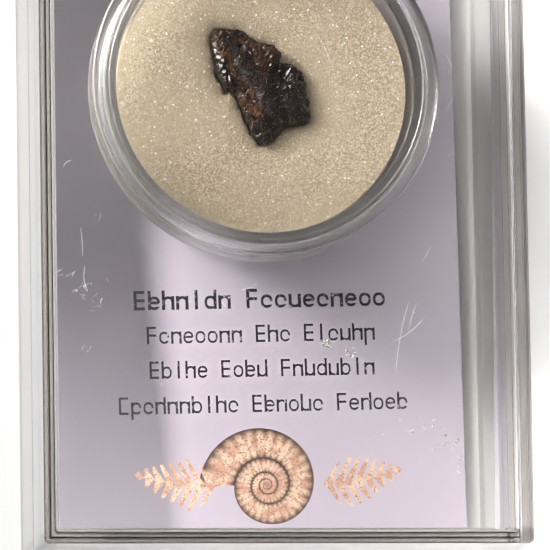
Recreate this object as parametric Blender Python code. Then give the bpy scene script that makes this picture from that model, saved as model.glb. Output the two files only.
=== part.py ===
"""A fossil tooth on a foam pad in a round clear jar, on a printed card, in a small clear display case.

The origin is the middle of the case's underside. +X runs along the case's short side, +Y along its
long side away from the printed lines of the card, and +Z is up. Lengths are in metres.
"""
import math

import bmesh
import bpy
from mathutils import Vector

MM = 0.001

# Clearance between pieces that rest on or slip over each other
GAP = 0.30 * MM

# Case: a tray and a lid with the same outline, joined by a thin upstand inside the lid's skirt
CASE_WIDTH = 57.15 * MM
CASE_LENGTH = 82.55 * MM
CASE_HEIGHT = 28.60 * MM
CASE_CORNER_RADIUS = 0.60 * MM
CASE_EDGE = 0.25 * MM
CASE_FLOOR = 1.50 * MM
SEAM_HEIGHT = 15.50 * MM
BASE_WALL = 2.05 * MM
UPSTAND_WALL = 0.90 * MM
UPSTAND_TOP = 22.40 * MM
LID_WALL = 1.40 * MM
LID_PLATE = 1.50 * MM
INNER_FILLET = 0.50 * MM
CORNER_STEPS = 3

# Card: cut by hand, a little narrower at the back and a little turned in the case
CARD_FRONT_WIDTH = 49.00 * MM
CARD_BACK_WIDTH = 48.25 * MM
CARD_LENGTH = 74.30 * MM
CARD_THICKNESS = 0.40 * MM
CARD_TURN = math.radians(0.45)
CARD_X = 0.05 * MM

# Jar: a cup and a lid that slips over it, standing on the card
JAR_X = -0.30 * MM
JAR_Y = 15.10 * MM
JAR_HEIGHT = 13.00 * MM
JAR_LID_RADIUS = 20.75 * MM
JAR_LID_SKIRT = 5.50 * MM
JAR_LID_PLATE = 1.20 * MM
JAR_CUP_RADIUS = 19.20 * MM
JAR_CUP_WALL = 1.40 * MM
JAR_CUP_FLOOR = 1.20 * MM
JAR_EDGE = 0.45 * MM
JAR_STEPS = 64

# Foam pad: fills the cup up to a few millimetres below its rim
FOAM_TOP_BELOW_JAR_TOP = 5.30 * MM
FOAM_EDGE = 0.30 * MM

# Tooth: its outline seen from above, round a point near its middle, in millimetres
TOOTH_X = -0.46 * MM
TOOTH_Y = 15.48 * MM
TOOTH_OUTLINE_MM = (
    (-5.8, 6.3), (-5.2, 7.0), (-4.4, 7.1), (-2.8, 7.0), (-2.0, 6.9), (-1.4, 6.4), (-0.8, 5.8),
    (0.4, 5.4), (1.5, 5.2), (2.2, 4.6), (2.5, 3.8), (2.5, 3.1), (3.2, 2.8), (4.0, 2.7), (4.7, 2.3),
    (5.3, 1.5), (5.6, 0.3), (5.7, -1.0), (5.9, -2.6), (6.1, -3.9), (5.2, -4.5), (4.1, -4.7),
    (3.1, -5.0), (2.4, -5.5), (1.6, -6.4), (0.8, -7.1), (0.0, -7.1), (-0.7, -6.3), (-1.4, -5.0),
    (-1.9, -3.9), (-2.5, -2.4), (-3.1, -1.0), (-3.6, -0.6), (-4.1, -0.7), (-4.5, 0.0),
    (-5.1, 1.1), (-5.5, 2.7), (-5.6, 4.1), (-5.9, 5.3),
)
TOOTH_HUB_MM = (0.3, 0.3)
TOOTH_STEPS = 104
TOOTH_CROWN = 1.25 * MM
TOOTH_BELLY = 1.90 * MM
TOOTH_RIM_ABOVE_FOAM = 0.20 * MM
POCKET_MARGIN = 0.40 * MM

# Relief of the tooth's upper face: x, y, reach along the slant, reach across, slant, rise, in millimetres
# and degrees. A positive rise is a swelling and a negative rise is a hollow.
TOOTH_RELIEF_MM = (
    ("ridge_high", -2.3, 2.3, 2.2, 0.8, -52.0, 0.45),
    ("ridge_low", 0.5, -2.0, 3.0, 0.9, -68.0, 0.42),
    ("left_bank", -4.6, 2.9, 2.4, 0.55, -78.0, 0.38),
    ("left_furrow", -3.6, 1.9, 2.4, 0.5, -70.0, -0.28),
    ("rough_lobe", 0.9, 4.2, 1.3, 0.9, 10.0, 0.40),
    ("lobe_furrow", -0.5, 3.0, 1.9, 0.5, 5.0, -0.25),
    ("pulp_hollow", 2.9, 1.5, 1.1, 0.8, -35.0, -0.75),
    ("flat_facet", -2.9, 5.3, 1.2, 0.7, -30.0, -0.30),
    ("enamel_slope", 4.5, -1.4, 2.6, 0.9, -80.0, 0.20),
    ("enamel_furrow", 2.6, -2.2, 2.8, 0.6, -78.0, -0.35),
    ("tip_keel", 0.4, -5.6, 1.3, 0.6, -85.0, 0.25),
)


def principled(name, colour, roughness, transmission=0.0):
    """Make one plain material for a piece."""
    material = bpy.data.materials.new(name)
    material.use_nodes = True
    shader = material.node_tree.nodes["Principled BSDF"]
    shader.inputs["Base Color"].default_value = (*colour, 1.0)
    shader.inputs["Roughness"].default_value = roughness
    shader.inputs["Metallic"].default_value = 0.0
    shader.inputs["Transmission Weight"].default_value = transmission
    return material


def circle(radius, height, steps=JAR_STEPS):
    """Points of a level circle about the piece's own axis."""
    turns = [2.0 * math.pi * step / steps for step in range(steps)]
    return [Vector((radius * math.cos(a), radius * math.sin(a), height)) for a in turns]


def rounded_rectangle(inset, height):
    """Points of the case's outline, moved in by an inset, with rounded corners."""
    half_width = CASE_WIDTH / 2 - inset
    half_length = CASE_LENGTH / 2 - inset
    points = []
    for quarter, (side_x, side_y) in enumerate(((1, 1), (-1, 1), (-1, -1), (1, -1))):
        for step in range(CORNER_STEPS + 1):
            angle = math.pi / 2 * (quarter + step / CORNER_STEPS)
            x = side_x * (half_width - CASE_CORNER_RADIUS) + CASE_CORNER_RADIUS * math.cos(angle)
            y = side_y * (half_length - CASE_CORNER_RADIUS) + CASE_CORNER_RADIUS * math.sin(angle)
            points.append(Vector((x, y, height)))
    return points


def closed_spline(points, steps):
    """Evenly numbered points on a smooth closed curve through the given points."""
    count = len(points)
    curve = []
    for step in range(steps):
        place = step * count / steps
        i = int(place)
        t = place - i
        a, b, c, d = (Vector(points[(i + k) % count]) for k in (-1, 0, 1, 2))
        curve.append(0.5 * (2 * b + (c - a) * t + (2 * a - 5 * b + 4 * c - d) * t * t
                            + (3 * b - a - 3 * c + d) * t ** 3))
    return curve


def add_object(name, body, material):
    """Turn a finished bmesh into an object with its own material."""
    bmesh.ops.recalc_face_normals(body, faces=body.faces)
    mesh = bpy.data.meshes.new(name)
    body.to_mesh(mesh)
    body.free()
    mesh.shade_smooth()
    mesh.set_sharp_from_angle(angle=math.radians(32.0))
    mesh.materials.append(material)
    piece = bpy.data.objects.new(name, mesh)
    bpy.context.collection.objects.link(piece)
    return piece


def skin(loops, end_point=None):
    """Close a body over a run of loops with equal counts, with flat caps or a last point."""
    body = bmesh.new()
    rings = [[body.verts.new(point) for point in loop] for loop in loops]
    for ring, following in zip(rings, rings[1:]):
        for i, here in enumerate(ring):
            j = (i + 1) % len(ring)
            body.faces.new((here, ring[j], following[j], following[i]))
    body.faces.new(rings[0])
    if end_point is None:
        body.faces.new(rings[-1])
        return body
    tip = body.verts.new(end_point)
    for i, here in enumerate(rings[-1]):
        body.faces.new((here, rings[-1][(i + 1) % len(rings[-1])], tip))
    return body


def make_case_base(material):
    """The tray: floor, walls up to the seam, and the upstand that the lid slips over."""
    upstand_face = BASE_WALL - UPSTAND_WALL
    shoulder = SEAM_HEIGHT - GAP / 2
    section = (
        (CASE_EDGE, 0.0),
        (0.0, CASE_EDGE),
        (0.0, shoulder),
        (upstand_face, shoulder),
        (upstand_face, UPSTAND_TOP - CASE_EDGE),
        (upstand_face + CASE_EDGE, UPSTAND_TOP),
        (BASE_WALL, UPSTAND_TOP),
        (BASE_WALL, CASE_FLOOR + INNER_FILLET),
        (BASE_WALL + INNER_FILLET, CASE_FLOOR),
    )
    return add_object("case_base", skin([rounded_rectangle(*step) for step in section]), material)


def make_case_lid(material):
    """The lid: a flat plate and a skirt that is thinned where it laps the upstand."""
    lap_face = BASE_WALL - UPSTAND_WALL - GAP
    skirt_end = SEAM_HEIGHT + GAP / 2
    lap_top = UPSTAND_TOP + GAP
    ceiling = CASE_HEIGHT - LID_PLATE
    section = (
        (CASE_EDGE, CASE_HEIGHT),
        (0.0, CASE_HEIGHT - CASE_EDGE),
        (0.0, skirt_end),
        (lap_face, skirt_end),
        (lap_face, lap_top),
        (LID_WALL, lap_top),
        (LID_WALL, ceiling - INNER_FILLET),
        (LID_WALL + INNER_FILLET, ceiling),
    )
    return add_object("case_lid", skin([rounded_rectangle(*step) for step in section]), material)


def make_label_card(material):
    """The stiff card on the case's floor."""
    half_length = CARD_LENGTH / 2
    corners = (
        (-CARD_FRONT_WIDTH / 2, -half_length),
        (CARD_FRONT_WIDTH / 2, -half_length),
        (CARD_BACK_WIDTH / 2, half_length),
        (-CARD_BACK_WIDTH / 2, half_length),
    )
    heights = (0.0, CARD_THICKNESS)
    card = add_object("label_card", skin([[(x, y, z) for x, y in corners] for z in heights]), material)
    card.location = (CARD_X, 0.0, CASE_FLOOR + GAP)
    card.rotation_euler = (0.0, 0.0, CARD_TURN)
    return card


def make_jar_cup(material):
    """The jar's cup, open at the top."""
    rim = JAR_HEIGHT - JAR_LID_PLATE - GAP
    inner = JAR_CUP_RADIUS - JAR_CUP_WALL
    section = (
        (JAR_CUP_RADIUS - JAR_EDGE, 0.0),
        (JAR_CUP_RADIUS, JAR_EDGE),
        (JAR_CUP_RADIUS, rim),
        (inner, rim),
        (inner, JAR_CUP_FLOOR + JAR_EDGE),
        (inner - JAR_EDGE, JAR_CUP_FLOOR),
    )
    return add_object("jar_base", skin([circle(*step) for step in section]), material)


def make_jar_lid(material):
    """The jar's lid, with a skirt outside the cup."""
    skirt_end = JAR_HEIGHT - JAR_LID_SKIRT
    inner = JAR_CUP_RADIUS + GAP
    section = (
        (JAR_LID_RADIUS - JAR_EDGE, JAR_HEIGHT),
        (JAR_LID_RADIUS, JAR_HEIGHT - JAR_EDGE),
        (JAR_LID_RADIUS, skirt_end),
        (inner, skirt_end),
        (inner, JAR_HEIGHT - JAR_LID_PLATE),
    )
    return add_object("jar_lid", skin([circle(*step) for step in section]), material)


def tooth_outline():
    """The smooth outline of the tooth, in metres round the tooth's own origin."""
    return [point * MM for point in closed_spline(TOOTH_OUTLINE_MM, TOOTH_STEPS)]


def relief_at(x, y):
    """Height that the swellings and hollows add to the tooth's upper face at one place."""
    total = 0.0
    for _, centre_x, centre_y, along, across, slant, rise in TOOTH_RELIEF_MM:
        turn = math.radians(slant)
        dx = x / MM - centre_x
        dy = y / MM - centre_y
        u = (dx * math.cos(turn) + dy * math.sin(turn)) / along
        v = (dy * math.cos(turn) - dx * math.sin(turn)) / across
        total += rise * MM * math.exp(-(u * u + v * v))
    return total


def make_tooth(material, rim_height):
    """The tooth: rings shrinking from its outline to its middle, above and below the rim."""
    outline = tooth_outline()
    hub = Vector(TOOTH_HUB_MM) * MM

    def ring(t, height):
        return [(*(hub + (point - hub) * t), height(hub + (point - hub) * t, t)) for point in outline]

    def under(place, t):
        return -TOOTH_BELLY * (1.0 - t ** 3) ** 0.55

    def over(place, t):
        fade = min(1.0, (1.0 - t) / 0.12)
        return TOOTH_CROWN * (1.0 - t ** 3.2) ** 0.6 + fade * relief_at(place.x, place.y)

    below = [ring(t, under) for t in (0.35, 0.6, 0.78, 0.9, 0.97)]
    above = [ring(t, over) for t in (1.0, 0.98, 0.94, 0.88, 0.81, 0.72, 0.62, 0.51, 0.39, 0.27, 0.14)]
    top = (*hub, over(hub, 0.0))
    tooth = add_object("tooth", skin(below + above, top), material)
    tooth.location = (TOOTH_X, TOOTH_Y, rim_height)
    return tooth


def make_foam_pad(material, floor_height, top_height, pocket_height):
    """The foam disc, with the pressed hollow that the tooth lies in cut out of its top."""
    radius = JAR_CUP_RADIUS - JAR_CUP_WALL - GAP
    section = (
        (radius - FOAM_EDGE - JAR_EDGE, floor_height),
        (radius, floor_height + FOAM_EDGE + JAR_EDGE),
        (radius, top_height - FOAM_EDGE),
        (radius - FOAM_EDGE, top_height),
    )
    foam = add_object("foam_pad", skin([circle(*step) for step in section]), material)
    foam.location = (JAR_X, JAR_Y, 0.0)

    hub = Vector(TOOTH_HUB_MM) * MM
    margin = [point + (point - hub).normalized() * POCKET_MARGIN for point in tooth_outline()]
    heights = (pocket_height, top_height + JAR_LID_PLATE)
    cutter = add_object("pocket_cutter", skin([[(*point, z) for point in margin] for z in heights]), material)
    cutter.location = (TOOTH_X, TOOTH_Y, 0.0)
    cutter.hide_render = True
    cutter.display_type = "WIRE"

    cut = foam.modifiers.new("pocket", "BOOLEAN")
    cut.operation = "DIFFERENCE"
    cut.solver = "EXACT"
    cut.object = cutter
    return foam


def build():
    """Make every piece in its place."""
    for old in list(bpy.data.objects):
        bpy.data.objects.remove(old)

    clear = (0.93, 0.94, 0.94)
    make_case_base(principled("case_base_plastic", clear, 0.06, 0.95))
    make_case_lid(principled("case_lid_plastic", clear, 0.08, 0.95))
    make_label_card(principled("card_board", (0.42, 0.39, 0.44), 0.45))

    jar_foot = CASE_FLOOR + GAP + CARD_THICKNESS + GAP
    jar_plastic = principled("jar_plastic", clear, 0.05, 0.95)
    for piece in (make_jar_cup(jar_plastic), make_jar_lid(jar_plastic)):
        piece.location = (JAR_X, JAR_Y, jar_foot)

    foam_floor = jar_foot + JAR_CUP_FLOOR + GAP
    foam_top = jar_foot + JAR_HEIGHT - FOAM_TOP_BELOW_JAR_TOP
    rim_height = foam_top + TOOTH_RIM_ABOVE_FOAM
    pocket_height = rim_height - TOOTH_BELLY - GAP
    make_foam_pad(principled("cream_foam", (0.52, 0.46, 0.34), 0.9), foam_floor, foam_top, pocket_height)
    make_tooth(principled("dark_fossil", (0.035, 0.022, 0.018), 0.15), rim_height)


build()
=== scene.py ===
# %% [markdown]
# # A fossil tooth in its display case
#
# The object is a small dark tooth, varnished and glossy, pressed into a cream foam pad. The pad
# fills a round clear jar, the jar stands on a silvery printed card, and the card lies in a clear
# two-piece case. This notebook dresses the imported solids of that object: it starts from their real
# sizes and places, models each piece again with its finer edges and surface, and gives each one a
# material made of shader nodes.

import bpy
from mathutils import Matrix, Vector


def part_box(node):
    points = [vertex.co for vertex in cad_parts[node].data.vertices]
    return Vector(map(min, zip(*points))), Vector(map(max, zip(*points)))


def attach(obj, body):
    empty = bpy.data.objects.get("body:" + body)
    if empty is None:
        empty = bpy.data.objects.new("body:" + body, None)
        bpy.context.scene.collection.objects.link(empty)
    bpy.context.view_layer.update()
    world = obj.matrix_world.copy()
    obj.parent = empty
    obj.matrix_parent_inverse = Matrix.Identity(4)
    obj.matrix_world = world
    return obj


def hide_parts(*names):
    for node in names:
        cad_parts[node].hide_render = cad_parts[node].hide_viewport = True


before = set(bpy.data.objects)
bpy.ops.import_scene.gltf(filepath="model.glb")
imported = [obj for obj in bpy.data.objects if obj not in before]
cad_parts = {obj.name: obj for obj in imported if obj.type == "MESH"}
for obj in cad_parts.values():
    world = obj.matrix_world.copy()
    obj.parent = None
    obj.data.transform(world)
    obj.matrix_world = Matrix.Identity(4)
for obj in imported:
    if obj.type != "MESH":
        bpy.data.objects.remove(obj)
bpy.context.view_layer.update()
print("nodes:", sorted(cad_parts))

# %% [markdown]
# Blender's own modules come next, with one unit. Every size below is written in millimetres and
# multiplied by MM, because the frame is in metres.

# %% Modules and unit
import math

import bmesh
import bpy
import numpy as np
from mathutils import Matrix, Vector, noise
from mathutils.bvhtree import BVHTree

MM = 0.001
BODY = "root"
print("Blender", bpy.app.version_string, "with everything riding on", BODY)

# %% [markdown]
# ## The photographer's place
#
# The picture was taken from almost straight above and from far away with a long lens, leaning a
# little to the left and to the front, so the left and front walls show from outside and the right
# and back walls from inside. A far camera with a long lens is the way to keep the case's sides
# nearly parallel. The camera is turned by hand from its viewing direction, because tracking
# constraints have no good idea of which way is up when they look straight down.

# %% Camera
AIM_POINT = Vector((-1.35, -9.94, 28.6)) * MM
VIEW_DIRECTION = Vector((0.1313, 0.1523, -0.9796)).normalized()
CAMERA_DISTANCE = 801.3 * MM
CAMERA_ROLL = math.radians(-0.93)
LENS_MM = 451.6


def add_camera():
    """Place the far camera with its long lens."""
    camera = bpy.data.objects.new("camera", bpy.data.cameras.new("camera"))
    bpy.context.scene.collection.objects.link(camera)
    camera.data.lens = LENS_MM
    right = VIEW_DIRECTION.cross(Vector((0.0, 1.0, 0.0))).normalized()
    up = right.cross(VIEW_DIRECTION)
    level = Matrix((right, up, -VIEW_DIRECTION)).transposed()
    turn = level @ Matrix.Rotation(CAMERA_ROLL, 3, "Z")
    place = Matrix.Translation(AIM_POINT - VIEW_DIRECTION * CAMERA_DISTANCE)
    camera.matrix_world = place @ turn.to_4x4()
    bpy.context.scene.camera = camera
    return camera


camera = add_camera()
print("camera at", [round(x, 3) for x in camera.matrix_world.translation])

# %% [markdown]
# ## Selecting in code
#
# Edit-mode operators act on what is selected. With a mouse you would click faces; here a short
# test on their corners picks them. Everything starts deselected, and a new primitive gets its
# place and size applied at once, so that the numbers in a test are the real ones.

# %% Selection helpers
TOUCH = 0.004 * MM


def only(piece):
    """Make one piece the selected and active object."""
    bpy.ops.object.select_all(action="DESELECT")
    piece.select_set(True)
    bpy.context.view_layer.objects.active = piece
    return piece


def settle(name):
    """Name the new primitive and move its place, turn and size into its mesh."""
    piece = only(bpy.context.object)
    piece.name = name
    piece.data.name = name
    bpy.ops.object.transform_apply(location=True, rotation=True, scale=True)
    return piece


def pick(kind, test):
    """In edit mode, select just the faces or edges whose corners pass a test."""
    bpy.ops.mesh.select_mode(type=kind)
    bpy.ops.mesh.select_all(action="DESELECT")
    mesh = bpy.context.object.data
    body = bmesh.from_edit_mesh(mesh)
    found = [part for part in (body.faces if kind == "FACE" else body.edges)
             if test([corner.co for corner in part.verts])]
    for part in found:
        part.select_set(True)
    bmesh.update_edit_mesh(mesh)
    return len(found)


def level_with(height):
    """A test for parts that lie flat at one height."""
    return lambda corners: all(abs(corner.z - height) < TOUCH for corner in corners)


def push(distance):
    """Extrude the picked face straight up, or down when the distance is negative."""
    bpy.ops.mesh.extrude_region_move(TRANSFORM_OT_translate={"value": (0.0, 0.0, distance)})


def round_edges(test, width, segments):
    """Bevel the edges that pass a test."""
    found = pick("EDGE", test)
    bpy.ops.mesh.bevel(offset=width, segments=segments, affect="EDGES", clamp_overlap=True)
    return found


print("parts closer than", TOUCH / MM, "mm count as level with each other")

# %% [markdown]
# A finished piece has its modifiers applied, is shaded smooth with its flat faces kept flat, and is
# handed over: it rides with its body and it stands for its solid.

# %% Finishing helpers
def use(piece, kind, **settings):
    """Add one modifier, set it and apply it."""
    only(piece)
    modifier = piece.modifiers.new(kind.lower(), kind)
    for name, value in settings.items():
        setattr(modifier, name, value)
    bpy.ops.object.modifier_apply(modifier=modifier.name)


def shade(piece, degrees=35.0):
    """Shade a piece smooth, with its sharper edges kept and its flat faces flat."""
    only(piece)
    bpy.ops.object.shade_smooth_by_angle(angle=math.radians(degrees))
    use(piece, "WEIGHTED_NORMAL", keep_sharp=True, weight=80)


def triangles(piece):
    """Count a piece's triangles."""
    return sum(len(face.vertices) - 2 for face in piece.data.polygons)


def hand_over(piece, node):
    """Let a finished piece ride with the case and stand for its solid."""
    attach(piece, BODY)
    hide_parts(node)
    print(piece.name, "has", triangles(piece), "triangles")


print("smooth shading keeps edges sharper than 35 degrees")

# %% [markdown]
# ## Short words for shader nodes
#
# A material is a graph, and graphs are long to write. These helpers place a node, set it, and
# link what it is given, so a formula reads nearly as it would on paper.

# %% Node helpers
def node(tree, kind, settings=None, **links):
    """Place one shader node; links are socket names with values or other nodes' outputs."""
    made = tree.nodes.new("ShaderNode" + kind)
    for name, value in (settings or {}).items():
        setattr(made, name, value)
    for name, value in links.items():
        feed(tree, made.inputs[name.replace("_", " ")], value)
    return made


def feed(tree, socket, value):
    """Link an output to a socket, or set the socket to a plain value."""
    if isinstance(value, bpy.types.NodeSocket):
        tree.links.new(value, socket)
    else:
        socket.default_value = value


def calc(tree, operation, *values):
    """One Math node."""
    made = tree.nodes.new("ShaderNodeMath")
    made.operation = operation
    for socket, value in zip(made.inputs, values):
        feed(tree, socket, value)
    return made.outputs[0]


print("node helpers:", [helper.__name__ for helper in (node, feed, calc)])

# %% [markdown]
# A mask is a number from 0 to 1 that says how much of something there is at a point. Masks are
# joined the way words are: both, either, near, between. A step draws one softly, and a blend mixes
# two colours by it.

# %% Masks, blends and textures
def step(tree, value, start, end):
    """A smooth step that is 0 at start and 1 at end."""
    made = node(tree, "MapRange", {"interpolation_type": "SMOOTHSTEP"}, Value=value)
    made.inputs["From Min"].default_value = start
    made.inputs["From Max"].default_value = end
    return made.outputs["Result"]


def both(tree, *masks):
    """True where every mask is true."""
    result = masks[0]
    for mask in masks[1:]:
        result = calc(tree, "MULTIPLY", result, mask)
    return result


def either(tree, *masks):
    """True where any mask is true."""
    result = masks[0]
    for mask in masks[1:]:
        result = calc(tree, "MAXIMUM", result, mask)
    return result


def near(tree, value, middle, reach):
    """True where a value is within reach of a middle."""
    return calc(tree, "COMPARE", value, middle, reach)


def between(tree, value, low, high):
    """True where a value lies between two others."""
    return near(tree, value, (low + high) / 2.0, (high - low) / 2.0)


def blend(tree, share, first, second):
    """Mix two colours by a share that varies."""
    made = node(tree, "Mix", {"data_type": "RGBA"})
    feed(tree, made.inputs["Factor"], share)
    feed(tree, made.inputs[6], first)
    feed(tree, made.inputs[7], second)
    return made.outputs[2]


def texture(tree, kind, vector, scale, output, settings=None, **links):
    """A procedural texture read at a vector."""
    made = node(tree, kind, settings, Vector=vector, Scale=scale, **links)
    return made.outputs[output]


def new_material(name):
    """An empty material with its output and the Object coordinates."""
    material = bpy.data.materials.new(name)
    material.use_nodes = True
    tree = material.node_tree
    tree.nodes.clear()
    output = tree.nodes.new("ShaderNodeOutputMaterial")
    place = tree.nodes.new("ShaderNodeTexCoord").outputs["Object"]
    return material, tree, output, place


def wear(piece, material):
    """Give a piece its one material."""
    piece.data.materials.clear()
    piece.data.materials.append(material)
    print(piece.name, "wears", material.name, "of", len(material.node_tree.nodes), "nodes")


# %% [markdown]
# ## Handling marks, shared by all the clear plastic
#
# Clear polystyrene is never quite clean: it picks up a faint haze of fingerprints and a slow
# waviness from the mould. Three materials need the same marks at different strengths, so they are
# a node group with two outputs that vary over the surface: a roughness and a height for a bump.

# %% The handling marks group
def make_handling_marks():
    """A group: Vector, Haze and Base in; Roughness and Height out."""
    group = bpy.data.node_groups.new("handling_marks", "ShaderNodeTree")
    face = group.interface
    face.new_socket("Vector", in_out="INPUT", socket_type="NodeSocketVector")
    face.new_socket("Haze", in_out="INPUT", socket_type="NodeSocketFloat")
    face.new_socket("Base", in_out="INPUT", socket_type="NodeSocketFloat")
    face.new_socket("Roughness", in_out="OUTPUT", socket_type="NodeSocketFloat")
    face.new_socket("Height", in_out="OUTPUT", socket_type="NodeSocketFloat")
    into = group.nodes.new("NodeGroupInput").outputs
    out = group.nodes.new("NodeGroupOutput").inputs
    smear = texture(group, "TexNoise", into["Vector"], 60.0, "Fac", Detail=4.0)
    fine = texture(group, "TexNoise", into["Vector"], 900.0, "Fac", Detail=3.0)
    patches = step(group, smear, 0.45, 0.75)
    grain = calc(group, "MULTIPLY", patches, calc(group, "ADD", fine, 0.3))
    rough = calc(group, "MULTIPLY_ADD", grain, into["Haze"], into["Base"])
    group.links.new(rough, out["Roughness"])
    wave = texture(group, "TexNoise", into["Vector"], 35.0, "Fac", Detail=1.0)
    group.links.new(wave, out["Height"])
    return group


handling_marks = make_handling_marks()
print("handling marks:", len(handling_marks.nodes), "nodes in the group")

# %% [markdown]
# ## Clear plastic
#
# A renderer's glass casts a nearly black shadow unless it traces caustics, but real clear plastic
# passes most of the lamp's light. So for shadow rays alone the surface turns into a plain
# transparent one with a slight grey. On the side away from the lamp that grey is left out, so that
# the floor beside the case stays pale. The colour of thick plastic comes from its depth: an
# absorbing volume fills the solid, and a wall seen along its length is darker than a plate seen
# through.

# %% The clear plastic
CLEAR = (0.985, 0.978, 0.970, 1.0)
FAR_SIDE_MM = 25.0


def clear_plastic(name, haze, base_roughness, wave_mm, density, passing_tone, worn, dull_and_shade_tint,
                  worn_roughness):
    """See-through plastic that lets lamps reach what it encloses, and is darker where it is deep.

    A closed clear piece has one material only, because light has to leave the same plastic that it
    entered. The function worn masks the places that are duller, and on the case and lid darker as a painted
    shade.
    """
    material, tree, output, place = new_material(name)
    marks = tree.nodes.new("ShaderNodeGroup")
    marks.node_tree = handling_marks
    feed(tree, marks.inputs["Vector"], place)
    marks.inputs["Haze"].default_value = haze
    marks.inputs["Base"].default_value = base_roughness
    bump = node(tree, "Bump", Height=marks.outputs["Height"], Strength=1.0, Distance=wave_mm * MM)
    mask = worn(tree, place)
    rough = calc(tree, "MULTIPLY_ADD", mask, worn_roughness, marks.outputs["Roughness"])
    # Painted shade: the masked places of the case and its lid get a darker tint. On the jar's rim the tint is
    # the grey of its haze.
    tone = blend(tree, mask, CLEAR, dull_and_shade_tint)
    plastic = node(tree, "BsdfPrincipled", Base_Color=tone, IOR=1.55, Transmission_Weight=1.0)
    feed(tree, plastic.inputs["Roughness"], rough)
    feed(tree, plastic.inputs["Normal"], bump.outputs["Normal"])
    split = node(tree, "SeparateXYZ", Vector=place)
    far_side = step(tree, split.outputs["X"], FAR_SIDE_MM * MM, (FAR_SIDE_MM + 0.6) * MM)
    passing = node(tree, "BsdfTransparent")
    dimmed = (passing_tone, passing_tone, passing_tone, 1.0)
    feed(tree, passing.inputs["Color"], blend(tree, far_side, dimmed, (1.0, 1.0, 1.0, 1.0)))
    path = tree.nodes.new("ShaderNodeLightPath")
    mixed = tree.nodes.new("ShaderNodeMixShader")
    feed(tree, mixed.inputs[0], path.outputs["Is Shadow Ray"])
    feed(tree, mixed.inputs[1], plastic.outputs[0])
    feed(tree, mixed.inputs[2], passing.outputs[0])
    feed(tree, output.inputs["Surface"], mixed.outputs[0])
    depth = node(tree, "VolumeAbsorption", Color=(0.62, 0.57, 0.54, 1.0), Density=density)
    feed(tree, output.inputs["Volume"], depth.outputs[0])
    return material


print("clean plastic passes", round(CLEAR[0] * 100, 1), "% of red light at each surface")

# %% [markdown]
# ## Where the plastic is dull or given a painted shade
#
# The plastic isn't dull evenly. The tray's underside along its left and front edges, the lid's top
# along the same edges, and the outer left and front walls are rougher and tinted darker, and the
# darker tint is a painted shade. The jar's rim is hazed all round by the moulding. Each of these is a
# mask worked out from the place alone, so it stays put from any side.

# %% Dull places
def rubbed_and_shaded_tray(tree, place):
    """1 along the left and front edges of the underside, weaker on the walls above them; there the plastic is
    rougher and has a painted shade.
    """
    split = node(tree, "SeparateXYZ", Vector=place)
    left = step(tree, split.outputs["X"], -24.2 * MM, -24.6 * MM)
    front = step(tree, split.outputs["Y"], -37.0 * MM, -37.4 * MM)
    foot = both(tree, either(tree, left, front), near(tree, split.outputs["Z"], 0.0, 0.3 * MM))
    return either(tree, foot, calc(tree, "MULTIPLY", outer_walls(tree, split), 0.5))


def outer_walls(tree, split):
    """1 on the outer faces of the left and front walls, which are made rougher and given a painted shade."""
    return either(tree, near(tree, split.outputs["X"], -28.575 * MM, 0.3 * MM),
                  near(tree, split.outputs["Y"], -41.275 * MM, 0.3 * MM))


def rubbed_and_shaded_lid(tree, place):
    """1 along the left and front edges of the lid's top and on the walls below them, which are rougher and
    have a painted shade.
    """
    split = node(tree, "SeparateXYZ", Vector=place)
    left = step(tree, split.outputs["X"], -27.0 * MM, -27.3 * MM)
    front = step(tree, split.outputs["Y"], -39.7 * MM, -40.0 * MM)
    rim = both(tree, either(tree, left, front), near(tree, split.outputs["Z"], 28.6 * MM, 0.3 * MM))
    return either(tree, rim, outer_walls(tree, split))


JAR_AXIS_MM = (-0.30, 15.10)
HAZE_FROM_MM, HAZE_FULL_MM = 16.4, 18.6


def hazy_ring(tree, place):
    """A soft mask of the jar's hazy ring, weaker again at its outermost edge."""
    split = node(tree, "SeparateXYZ", Vector=place)
    x = calc(tree, "SUBTRACT", split.outputs["X"], JAR_AXIS_MM[0] * MM)
    y = calc(tree, "SUBTRACT", split.outputs["Y"], JAR_AXIS_MM[1] * MM)
    reach = calc(tree, "SQRT", calc(tree, "MULTIPLY_ADD", x, x, calc(tree, "MULTIPLY", y, y)))
    outermost = step(tree, reach, 20.2 * MM, 20.4 * MM)
    weaker = calc(tree, "MULTIPLY_ADD", outermost, -0.55, 1.0)
    return both(tree, step(tree, reach, HAZE_FROM_MM * MM, HAZE_FULL_MM * MM), weaker)


print("the jar's haze begins", HAZE_FROM_MM, "mm from its axis")

# %% [markdown]
# Three plastics are made from that one recipe. The case and its lid are thicker and a little
# greyer, and the jar is clearer in its depth but passes less light through its many layers.

# %% The three plastics
case_plastic = clear_plastic(
    "case_plastic", haze=0.03, base_roughness=0.02, wave_mm=0.02, density=32.0, passing_tone=0.87,
    worn=rubbed_and_shaded_tray, dull_and_shade_tint=(0.55, 0.53, 0.51, 1.0), worn_roughness=0.10)
lid_plastic = clear_plastic(
    "lid_plastic", haze=0.03, base_roughness=0.01, wave_mm=0.02, density=32.0, passing_tone=0.93,
    worn=rubbed_and_shaded_lid, dull_and_shade_tint=(0.72, 0.71, 0.70, 1.0), worn_roughness=0.08)
jar_plastic = clear_plastic(
    "jar_plastic", haze=0.02, base_roughness=0.01, wave_mm=0.01, density=11.0, passing_tone=0.705,
    worn=hazy_ring, dull_and_shade_tint=(0.90, 0.905, 0.885, 1.0), worn_roughness=0.24)
print("clear plastics:", [m.name for m in bpy.data.materials if "plastic" in m.name])

# %% [markdown]
# ## The sizes of the case
#
# The case is two injection-moulded boxes, one over the other. Their outer sizes and heights are
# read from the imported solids, so the dressed pieces fit them whatever the size. The thicknesses are
# those of such a box: about two millimetres for the tray's wall, and half of that where the lid
# laps over it.

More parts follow.
